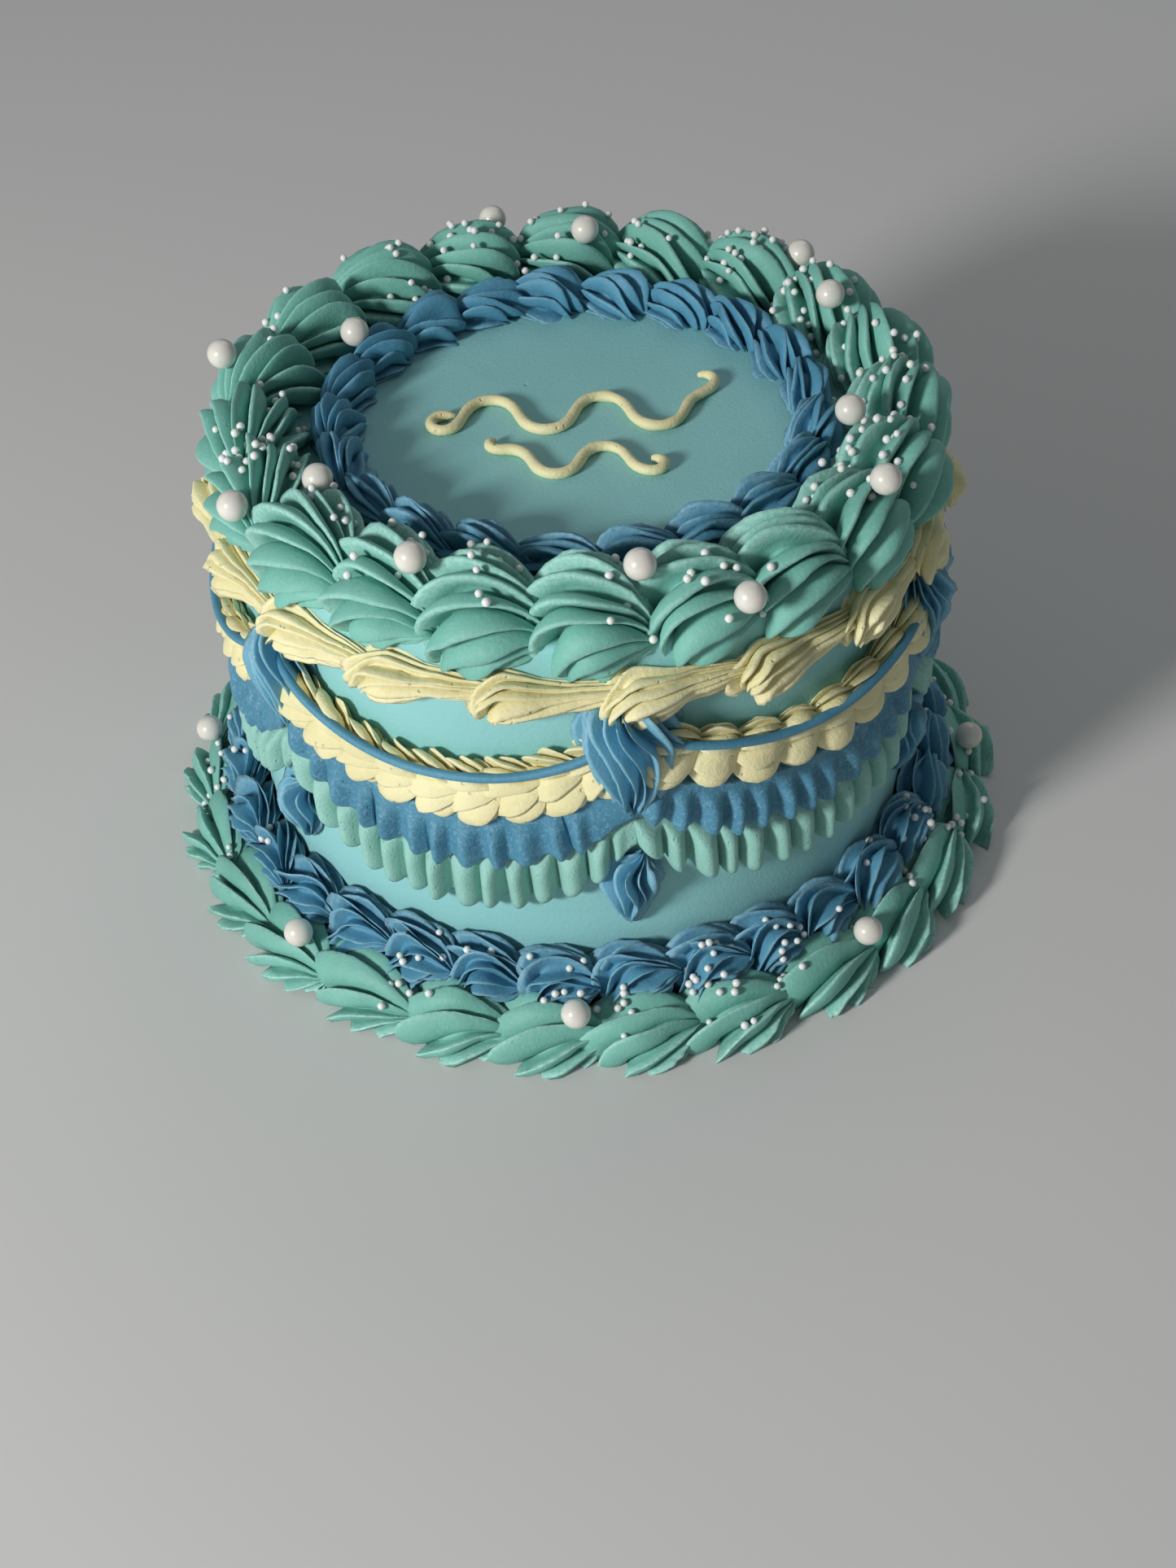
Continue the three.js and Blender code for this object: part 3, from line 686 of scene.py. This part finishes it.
def icedBody():
    foot = bodyShape["foot"]
    edge = bodyShape["edge"]
    outline = [(bodyRadius - foot, 0.0), (bodyRadius - bodyShape["footTaper"], foot)]
    rows = bodyShape["wallRows"]
    for row in range(1, rows):
        outline.append((bodyRadius, mix(foot, bodyHeight - edge, row / rows)))
    for step in range(bodyShape["edgeRows"] + 1):
        turn = 0.5 * math.pi * step / bodyShape["edgeRows"]
        outline.append((bodyRadius - edge + edge * math.cos(turn), bodyHeight - edge + edge * math.sin(turn)))
    for row in range(1, bodyShape["topRows"]):
        outline.append((mix(bodyRadius - edge, bodyShape["centre"], row / bodyShape["topRows"]), bodyHeight))
    outline = np.array(outline)
    turns = 2 * math.pi * np.arange(bodyShape["columns"]) / bodyShape["columns"]
    points = onCake(turns[None, :], outline[:, :1], outline[:, 1:])
    flat = points.reshape(-1, 3)
    inward = softNoise(flat, bodyShape["waveSize"], 3) * bodyShape["waveBy"]
    inward = inward + softNoise(flat * [1, 1, 3], bodyShape["scrapeSize"], 4) * bodyShape["scrapeBy"]
    inward = -np.abs(inward)
    wall = np.repeat(outline[:, 1] < bodyHeight - 1, len(turns))
    radial = flat * [1, 1, 0]
    radial = radial / np.linalg.norm(radial, axis=1)[:, None]
    inward = inward * (flat[:, 2] > bodyShape["plainFoot"])
    flat = flat + np.where(wall[:, None], radial, [0, 0, 1]) * inward[:, None]
    points = np.vstack([flat, [0, 0, 0], [0, 0, flat[-1, 2]]])
    obj = meshObject("icedBody", points, closedFaces(len(outline), len(turns)))
    obj.data.materials.append(aquaIcing)
    return obj


body = icedBody()
print("body iced")


# Angles in radians: of a star, and of a place from -1 to 1 across the swag that follows it
def starTurn(index):
    return math.radians(starAngle + index * 360 / swagCount)


def swagTurn(index, across):
    return starTurn(index) + math.radians(180 / swagCount) * (1 + across)


# Each swag hangs a little differently, and the one right of the front star is tighter
swagLift = [3.2, 0.0, 0.8, -0.5, 0.6, 0.0]


def swagHeight(swag, index, across):
    return mix(swag["middle"] + swagLift[index], swag["end"], across * across)


# Stars piped on the wall: the shell shape stood upright, its tail pinched off below
largeStar = {
    **shellBase, "profile": sharpProfile, "top": 92, "length": 32.5, "seed": 6, "left": 12, "right": 23,
    "inner": 3, "outer": 11, "over": 12.2, "under": 12.2, "tailPole": (0.99, 0.1, 0),
    "headPole": (-0.93, 0.05, -0.2), "ribs": 22, "cone": 0.3, "depth": 0.38, "sway": 0.26, "twist": 0.2,
    "rows": 36, "pull": 1, "dimple": 0.1, "crowd": 0.0, "flare": 0.1, "flareTo": 0.8, "tip": 59.2,
    "wander": 0.05, "crestWave": 0.12, "ribSpread": 0.3, "lean": 0.6,
}
smallStar = {
    **shellBase, "profile": sharpProfile, "top": 47.5, "length": 20, "seed": 7, "left": 8.6, "right": 12.4,
    "inner": 3, "outer": 7.6, "over": 7.6, "under": 7.6, "tailPole": (0.99, 0.1, 0),
    "headPole": (-0.95, 0.1, 0.2), "ribs": 13, "cone": 0.3, "depth": 0.56, "sway": 0.5, "twist": 0.9,
    "rows": 26, "pull": 0.8, "dimple": 0.0, "crowd": 0.0, "flare": 0.2, "flareTo": 0.74, "tip": 27.2,
    "ribSpread": 0.25, "lean": 0.6,
}


def pipedStars(name, star, material):
    parts = []
    for index in range(swagCount):
        points, faces, pale = shellShape(star, 100 * star["seed"] + index)
        height = star["tip"] + points[:, 0].max() - points[:, 0]
        lean = jitter(index, star["seed"], star["lean"]) * smooth((star["top"] - height) / star["length"])
        turn = starTurn(index) + (points[:, 2] + lean) / wallRadius
        parts.append((onCake(turn, wallRadius + points[:, 1], height), faces, pale))
    obj = meshObject(name, *gathered(parts))
    obj.data.materials.append(material)
    return obj


largeStars = pipedStars("largeStars", largeStar, starLighterBlueIcing)
smallStars = pipedStars("smallStars", smallStar, starLighterBlueIcing)
print("stars piped")


# A ruffle is a thin sheet from its upper edge to pleats below. Its back follows a little behind.
ruffleBase = {
    "widthBy": 0.22, "weaker": 0.22, "stronger": 0.12, "unevenDrop": 0.7, "unevenLean": 0.009,
    "endFade": 0.12, "reachPower": 1.3, "growOver": 0.4, "bandFrom": -0.12, "bandOver": 0.4,
    "ridge": 0.2, "ridgeWide": 0.02, "tuckIn": 0.8, "upperThick": 1.9, "sunk": 0.7, "backRise": 0.35,
}
blueRuffle = {
    **ruffleBase, "middle": 64.6, "end": 77.0, "high": 0.94, "low": 1.0, "pleats": 13, "drop": 18.2,
    "narrow": 0.26, "notch": 1.5, "crest": 6.2, "valley": 2.9, "band": 3.4, "lip": 1.5, "from": 0.26,
    "smoothEnd": 0.72, "step": 1.1, "fullness": 1.6, "gap": 0.0, "fan": 0.01, "seed": 12,
}
tealRuffle = {
    **ruffleBase, "middle": 50.4, "end": 62.6, "high": 1.02, "low": 1.02, "pleats": 14, "drop": 17.4,
    "narrow": 0.45, "notch": 1.3, "crest": 5.2, "valley": -0.3, "band": 2.2, "lip": 1.2, "from": 0.1,
    "smoothEnd": 0.84, "step": 0.0, "fullness": 0.5, "gap": 0.16, "fan": 0.012, "seed": 13,
}
# Rows of points down a ruffle, closest at its ridge and its hem, and columns to a pleat
ruffleHeights = [0, 0.1, 0.155, 0.18, 0.2, 0.22, 0.245, 0.29, 0.35, 0.42, 0.5, 0.58, 0.66, 0.74, 0.82, 0.88,
                 0.93, 0.97, 1]
ruffleColumns = 14


# One value for each pleat, given to each of its columns, and a last one that closes the row
def perColumn(values, last):
    return np.append(np.repeat(values, ruffleColumns), last)


# Front and back rows joined in a loop round each column, and closed to a point at both ends
def closedSheet(front, back, edge):
    rows = np.concatenate([front, back[::-1]])
    # the painted highlight goes on the front of the sheet only
    pale = np.concatenate([edge, edge[::-1] * 0])
    count, columns = rows.shape[:2]
    loops = rows.transpose(1, 0, 2).reshape(-1, 3)
    ends = [loops[:count].mean(0), loops[-count:].mean(0)]
    return np.vstack([loops, ends]), closedFaces(columns, count), np.append(pale.T.ravel(), [0, 0])


# One swag's ruffle: plain at its upper edge, full at its hem, its pleats uneven by hand
def pleatedRuffle(ruffle, index):
    rng = np.random.default_rng(100 * ruffle["seed"] + index)
    pleats = ruffle["pleats"]
    widths = 1 + rng.uniform(-ruffle["widthBy"], ruffle["widthBy"], pleats)
    edges = np.append(0, np.cumsum(widths)) / widths.sum()
    part = np.arange(ruffleColumns) / ruffleColumns
    along = np.append((edges[:-1, None] + np.diff(edges)[:, None] * part).ravel(), 1) * 2 - 1
    wave = np.clip((np.sin(math.pi * part) - ruffle["gap"]) / (1 - ruffle["gap"]), 0, 1) ** ruffle["fullness"]
    wave = np.append(np.tile(wave, pleats), 0)
    strength = perColumn(1 + rng.uniform(-ruffle["weaker"], ruffle["stronger"], pleats), 1)
    strength = strength * (1 - smooth((along - ruffle["smoothEnd"]) / ruffle["endFade"]))
    v = np.array(ruffleHeights, float)[:, None]
    reach = mix(ruffle["high"], ruffle["low"], v ** ruffle["reachPower"])
    across = along * reach
    deep = ruffle["drop"] * (1 - ruffle["narrow"] * along ** 4)
    top = swagHeight(ruffle, index, along * ruffle["high"])
    bottom = swagHeight(ruffle, index, along * ruffle["low"]) - deep
    bottom = bottom + ruffle["notch"] * (1 - wave) * strength
    hem = rng.uniform(-ruffle["unevenDrop"], ruffle["unevenDrop"], pleats)
    bottom = bottom + perColumn(hem, 0) * strength
    z = mix(top, bottom, v)
    grow = smooth((v - ruffle["from"]) / ruffle["growOver"])
    plain = ruffle["band"] * smooth((v - ruffle["bandFrom"]) / ruffle["bandOver"])
    folded = mix(ruffle["valley"], ruffle["crest"], wave)
    flat = mix(ruffle["band"], 0.5 * (ruffle["valley"] + ruffle["crest"]), v)
    out = mix(plain, mix(flat, folded, strength), grow)
    out = out - ruffle["tuckIn"] * smooth((v - 0.9) / 0.1) * wave
    ridge = np.exp(-((v - ruffle["ridge"]) / ruffle["ridgeWide"]) ** 2)
    out = out + ruffle["step"] * (0.7 * ridge - 1 + smooth((v - 0.175) / 0.05))
    lean = rng.uniform(-ruffle["unevenLean"], ruffle["unevenLean"], pleats) + ruffle["fan"]
    turn = swagTurn(index, across) + perColumn(lean, 0) * strength * v
    front = onCake(turn, wallRadius + out, z)
    thick = mix(ruffle["upperThick"], ruffle["lip"], v)
    backOut = np.maximum(wallRadius - ruffle["sunk"], wallRadius + out - thick)
    back = onCake(turn, backOut, z + ruffle["backRise"] * v)
    # painted highlight along the ruffle's raised ridge and along its hem
    edge = np.maximum(0.5 * ridge * ruffle["step"], smooth((v - 0.97) / 0.03) * 0.5) * np.ones_like(out)
    return closedSheet(front, back, edge)


def ruffles(name, ruffle, material):
    obj = meshObject(name, *gathered([pleatedRuffle(ruffle, index) for index in range(swagCount)]))
    obj.data.materials.append(material)
    return obj


blueRuffles = ruffles("blueRuffles", blueRuffle, spongyBlueIcing)
tealRuffles = ruffles("tealRuffles", tealRuffle, spongyTealIcing)
print("ruffles pleated")


# The cream frill: small shells lying along each swag, their ridges spread above and below the string
leafShell = {
    **shellBase, "seed": 8, "left": 7.0, "right": 8.0, "inner": 3, "outer": 4.8,
    "over": 9.4, "under": 8.6, "tailPole": (0.93, 0.25, 0.12), "headPole": (-0.42, -0.9, -0.05), "ribs": 11,
    "depth": 0.46, "flare": 0.22, "flareTo": 0.84, "open": 4, "dimple": 0.0, "crowd": 0.0, "rows": 18,
    "pull": 0.5, "ragged": 0.012, "wander": 0.05, "ribSpread": 0.2, "sink": 6.1, "proud": 4.2, "count": 9,
}
scallopShell = {
    **leafShell, "seed": 9, "tailPole": (0.96, 0.1, 0.24), "headPole": (-0.96, -0.1, 0.2), "left": 6.8,
    "right": 6.8, "over": 8.0, "outer": 5.4, "flare": 0.1, "depth": 0.26, "ribs": 9, "sink": 4.4, "count": 8,
}
creamFrill = {
    "middle": 74.4, "end": 87.4, "reach": 0.93, "standOff": 1.4, "topStandOff": 1.6, "sunk": 0.2,
    "unevenBy": 0.3, "unevenSize": 2.5,
}


# Swags of leaves and swags of scallops take turns
def frillKind(index):
    return leafShell if index % 2 else scallopShell


# The shell turned along the swag and laid on the wall
def frillShell(index, place, number):
    shell = frillKind(index)
    points, faces, pale = shellShape(shell, 100 * shell["seed"] + 20 * index + number)
    rise = creamFrill["end"] - creamFrill["middle"] - swagLift[index]
    slope = 2 * rise * place / (wallRadius * math.radians(180 / swagCount))
    tilt = math.atan(slope)
    along = points[:, 0] * math.cos(tilt) - points[:, 2] * math.sin(tilt)
    height = points[:, 0] * math.sin(tilt) + points[:, 2] * math.cos(tilt)
    height = height + swagHeight(creamFrill, index, place) - shell["sink"]
    out = points[:, 1] + mix(creamFrill["standOff"], shell["proud"], smooth(-points[:, 2] / shell["under"]))
    out = out + creamFrill["topStandOff"] * smooth(points[:, 2] / shell["over"])
    turn = swagTurn(index, place) + along / wallRadius
    spots = onCake(turn, wallRadius - creamFrill["sunk"] + out, height)
    uneven = creamFrill["unevenBy"] * softNoise(spots, creamFrill["unevenSize"], 8)
    return spots + uneven[:, None] * unit([1, 1, 1]), faces, pale


frill = []
for index in range(swagCount):
    for number in range(frillKind(index)["count"]):
        place = mix(-1, 1, (number + 0.5) / frillKind(index)["count"]) * creamFrill["reach"]
        frill.append(frillShell(index, place, number))
creamFrills = meshObject("creamFrills", *gathered(frill))
creamFrills.data.materials.append(creamIcing)

# The string line piped from star to star over the frill
stringLine = {
    "middle": 74.5, "end": 87.4, "standOff": 6.3, "tuck": 2.6, "tuckPower": 8, "radius": 1.1,
    "unevenThick": 0.07, "thickSize": 5, "wander": 0.35, "wanderSize": 14, "steps": 432, "sides": 12,
}


def pipedString():
    steps = np.arange(stringLine["steps"]) / stringLine["steps"] * swagCount
    index = np.floor(steps)
    across = 2 * (steps - index) - 1
    turns = np.array([swagTurn(i, a) for i, a in zip(index, across)])[:, None]
    height = np.array([swagHeight(stringLine, int(i), a) for i, a in zip(index, across)])[:, None]
    tuck = stringLine["tuck"] * across ** stringLine["tuckPower"]
    out = (bodyRadius + stringLine["standOff"] - tuck)[:, None]
    centre = onCake(turns, out, height).reshape(-1, 3)
    uneven = stringLine["unevenThick"] * softNoise(centre, stringLine["thickSize"], 21)
    thick = stringLine["radius"] * (1 + uneven)[:, None]
    around = 2 * math.pi * np.arange(stringLine["sides"])[None, :] / stringLine["sides"]
    wander = stringLine["wander"] * softNoise(centre, stringLine["wanderSize"], 22)[:, None]
    points = onCake(turns, out + thick * np.cos(around), height + wander + thick * np.sin(around))
    flat = points.reshape(-1, 3)
    faces = gridFaces(len(steps) + 1, stringLine["sides"])
    faces = [tuple(i % len(flat) for i in face) for face in faces]
    obj = meshObject("stringLine", flat, faces)
    obj.data.materials.append(blueIcing)
    return obj


string = pipedString()
print("frill and string piped")


# Line work on the top: two rows of waves
scrollLine = {
    "radius": 1.3, "sides": 12, "perWave": 32, "curlPart": 0.26, "curlPower": 1.5, "unevenThick": 0.12,
    "thickSize": 3.2, "endSteps": 3, "endThick": 0.15, "sunk": 0.1,
}
scrolls = [
    {"name": "wideScroll", "y": 9, "length": 122, "waves": 3, "swing": 1.25, "curl": 3.7},
    {"name": "narrowScroll", "y": -13, "length": 66, "waves": 2, "swing": 1.2, "curl": 3.3},
]


def pipedScroll(scroll):
    steps = scroll["waves"] * scrollLine["perWave"]
    along = 2 * (np.arange(steps) + 0.5) / steps - 1
    ending = np.maximum(0, np.abs(along) - 1 + scrollLine["curlPart"]) / scrollLine["curlPart"]
    heading = scroll["swing"] * np.cos(math.pi * scroll["waves"] * along) * (1 - ending)
    heading = heading + np.sign(along) * scroll["curl"] * ending ** scrollLine["curlPower"]
    stride = scroll["length"] / steps
    path = np.vstack([[0, 0], np.cumsum(stride * np.stack([np.cos(heading), np.sin(heading)], 1), 0)])
    path = path - (path.max(0) + path.min(0)) / 2 + [0, scroll["y"]]
    heading = np.append(heading, heading[-1])
    ends = np.minimum(np.arange(len(path)), np.arange(len(path))[::-1]) / scrollLine["endSteps"]
    blunt = np.sqrt(np.clip(ends + scrollLine["endThick"], 0, 1))
    centre = np.column_stack([path, np.zeros(len(path))])
    uneven = scrollLine["unevenThick"] * softNoise(centre, scrollLine["thickSize"], 31)
    thick = scrollLine["radius"] * (1 + uneven) * blunt
    around = 2 * math.pi * np.arange(scrollLine["sides"])[None, :] / scrollLine["sides"]
    normal = np.stack([-np.sin(heading), np.cos(heading), 0 * heading], 1)[:, None, :]
    height = bodyHeight - scrollLine["sunk"] + scrollLine["radius"]
    points = centre[:, None, :] + normal * (thick[:, None] * np.cos(around))[..., None]
    points = points + np.array([0, 0, 1]) * (height + thick[:, None] * np.sin(around))[..., None]
    flat = np.vstack([points.reshape(-1, 3), points[0].mean(0), points[-1].mean(0)])
    obj = meshObject(scroll["name"], flat, closedFaces(len(path), scrollLine["sides"]))
    obj.data.materials.append(creamIcing)
    return obj


wideScroll, narrowScroll = [pipedScroll(scroll) for scroll in scrolls]
print("line work piped")


# Pearls and sugar balls rest on the icing that shows
def surfaceOf(*objects):
    points, faces, first = [], [], 0
    for obj in objects:
        points += [vertex.co for vertex in obj.data.vertices]
        faces += [[first + i for i in polygon.vertices] for polygon in obj.data.polygons]
        first = len(points)
    return BVHTree.FromPolygons(points, faces)


icing = surfaceOf(topTeal, topBlue, baseTeal, baseBlue, body)
pearl = {"radius": 3.5, "count": 21, "sides": 32, "step": 0.1, "search": 3.0, "press": 0.97}


def ball(name, radius, sides):
    bpy.ops.mesh.primitive_uv_sphere_add(segments=sides, ring_count=sides * 3 // 4, radius=radius * mm)
    obj = bpy.context.object
    obj.name = name
    obj.data.polygons.foreach_set("use_smooth", [True] * len(obj.data.polygons))
    return obj


# Each pearl starts a little over its solid's place and sinks until it touches icing
def settledPearls():
    spots = []
    for number in range(1, pearl["count"] + 1):
        low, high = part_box(f"pearl_{number}")
        centre = (Vector(low) + Vector(high)) / 2
        centre.z = min(centre.z + pearl["search"] * mm, cadBox[1][2] - pearl["radius"] * mm)
        for _ in range(int(2 * pearl["search"] / pearl["step"])):
            near = icing.find_nearest(centre)
            if near[3] < pearl["radius"] * mm * pearl["press"]:
                break
            centre.z -= pearl["step"] * mm
        spots.append(tuple(centre))
    shapes = [ball("pearlShape", pearl["radius"], pearl["sides"])]
    count = len(spots)
    turns = [(0, 0, 0)] * count
    sizes = [(1, 1, 1)] * count
    return repeated("sugarPearls", shapes, spots, turns, sizes, [0] * count, pearlSugar)


pearls = settledPearls()

# Small balls in groups, cast down or inwards onto the icing. Each zone's from is a height in metres.
sprinkles = {
    "radius": 0.94, "seed": 5, "sides": 8, "press": 0.8, "sizes": (0.86, 1.1), "apart": 1.9,
    "alongBy": 2.6, "acrossBy": 2.2, "castFrom": 30, "steepest": 0.35,
    "zones": [
        {"groups": 140, "most": 5, "radius": (62, 84), "from": 0.14, "outward": 0.0},
        {"groups": 150, "most": 5, "radius": (83, 103), "from": 0.04, "outward": 0.35},
    ],
}


def scatteredBalls():
    rng = np.random.default_rng(sprinkles["seed"])
    spots, sizes = [], []
    for zone in sprinkles["zones"]:
        for _ in range(zone["groups"]):
            turn = rng.uniform(0, 2 * math.pi)
            radius = rng.uniform(*zone["radius"])
            for _ in range(rng.integers(1, zone["most"] + 1)):
                angle = turn + rng.normal(0, sprinkles["alongBy"]) / radius
                place = radius + rng.normal(0, sprinkles["acrossBy"])
                place = place + sprinkles["castFrom"] * zone["outward"]
                start = Vector(onCake(angle, place, zone["from"] / mm) * mm)
                inward = (-math.sin(angle) * zone["outward"], math.cos(angle) * zone["outward"])
                aim = Vector((*inward, -1)).normalized()
                hit, normal, _, _ = icing.ray_cast(start, aim)
                if hit is None or normal.z < sprinkles["steepest"]:
                    continue
                size = rng.uniform(*sprinkles["sizes"])
                spot = hit + normal * sprinkles["radius"] * sprinkles["press"] * size * mm
                apart = sprinkles["apart"] * sprinkles["radius"] * mm
                if all((spot - Vector(other)).length > apart for other in spots):
                    spots.append(tuple(spot))
                    sizes.append((size, size, size))
    print("sugar balls", len(spots))
    shapes = [ball("ballShape", sprinkles["radius"], sprinkles["sides"])]
    count = len(spots)
    return repeated("sugarBalls", shapes, spots, [(0, 0, 0)] * count, sizes, [0] * count, whiteSugar)


balls = scatteredBalls()
print("sugar scattered")


# What each piece stands for, and the name of a material slot
def numbered(stem, count):
    return [f"{stem}_{number}" for number in range(1, count + 1)]


standing = [
    (body, ["cake_body"], "icing_aqua"),
    (topTeal, ["border_top_teal"], "icing_teal"),
    (topBlue, ["border_top_blue"], "icing_blue"),
    (topYellow, ["border_top_yellow"], "icing_cream"),
    (baseBlue, ["border_base_blue"], "icing_blue"),
    (baseTeal, ["border_base_teal"], "icing_teal"),
    (string, ["swag_string"], "icing_blue"),
    (largeStars, numbered("star_large", swagCount), "icing_blue"),
    (smallStars, numbered("star_small", swagCount), "icing_blue"),
    (creamFrills, numbered("swag_ruffle_yellow", swagCount), "icing_cream"),
    (blueRuffles, numbered("swag_ruffle_blue", swagCount), "icing_blue"),
    (tealRuffles, numbered("swag_ruffle_teal", swagCount), "icing_teal"),
    (wideScroll, ["scroll_wide"], "icing_cream"),
    (narrowScroll, ["scroll_narrow"], "icing_cream"),
    (pearls, numbered("pearl", pearl["count"]), "sugar_pearl"),
]
for piece, replaced, slot in standing:
    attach(piece, "root")
    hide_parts(*replaced)
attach(balls, "root")

# Floor, lights and camera
studio = {
    "floorSize": 3.0, "floorColour": (0.68, 0.68, 0.675), "floorRoughness": 0.7,
    "worldColour": (0.9, 0.95, 0.97), "worldStrength": 0.18, "aimHeight": 0.06,
    "keyPlace": (-0.93, -0.92, 0.61), "keySize": 0.26, "keyPower": 17, "keyColour": (1.0, 0.98, 0.95),
    "fillPlace": (0.4, 1.0, 1.1), "fillSize": 1.0, "fillPower": 2, "fillColour": (1, 1, 1),
}
bpy.ops.mesh.primitive_plane_add(size=studio["floorSize"], location=(0, 0, 0))
floor = bpy.context.object
floor.name = "floor"
floorMaterial = bpy.data.materials.new("pale floor")
floorMaterial.use_nodes = True
floorShader = floorMaterial.node_tree.nodes["Principled BSDF"]
floorShader.inputs["Base Color"].default_value = (*studio["floorColour"], 1)
floorShader.inputs["Roughness"].default_value = studio["floorRoughness"]
floor.data.materials.append(floorMaterial)


def softLight(name, place, size, power, colour):
    data = bpy.data.lights.new(name, "AREA")
    data.shape = "DISK"
    data.size = size
    data.energy = power
    data.color = colour
    lamp = bpy.data.objects.new(name, data)
    lamp.location = place
    aim = Vector((0, 0, studio["aimHeight"])) - Vector(place)
    lamp.rotation_euler = aim.to_track_quat("-Z", "Y").to_euler()
    bpy.context.scene.collection.objects.link(lamp)


softLight("key", studio["keyPlace"], studio["keySize"], studio["keyPower"], studio["keyColour"])
softLight("fill", studio["fillPlace"], studio["fillSize"], studio["fillPower"], studio["fillColour"])
world = bpy.data.worlds.new("studio")
world.use_nodes = True
background = world.node_tree.nodes["Background"]
background.inputs["Color"].default_value = (*studio["worldColour"], 1)
background.inputs["Strength"].default_value = studio["worldStrength"]
bpy.context.scene.world = world
bpy.context.scene.view_settings.view_transform = "Standard"

# The camera stands where the photo was taken from
view = {
    "place": (0.0, -0.45399, 0.40222), "lens": 52.31, "sensor": 36, "nearest": 0.01,
    "right": (0.999332, -0.024360, -0.027240), "up": (0.036544, 0.666159, 0.744914),
    "forward": (0.0, 0.745412, -0.666604),
}
lens = bpy.data.cameras.new("camera")
lens.sensor_width = view["sensor"]
lens.lens = view["lens"]
lens.clip_start = view["nearest"]
camera = bpy.data.objects.new("camera", lens)
columns = [Vector(view["right"]), Vector(view["up"]), -Vector(view["forward"])]
camera.matrix_world = Matrix.Translation(view["place"]) @ Matrix(columns).transposed().to_4x4()
bpy.context.scene.collection.objects.link(camera)
bpy.context.scene.camera = camera
print("studio set")
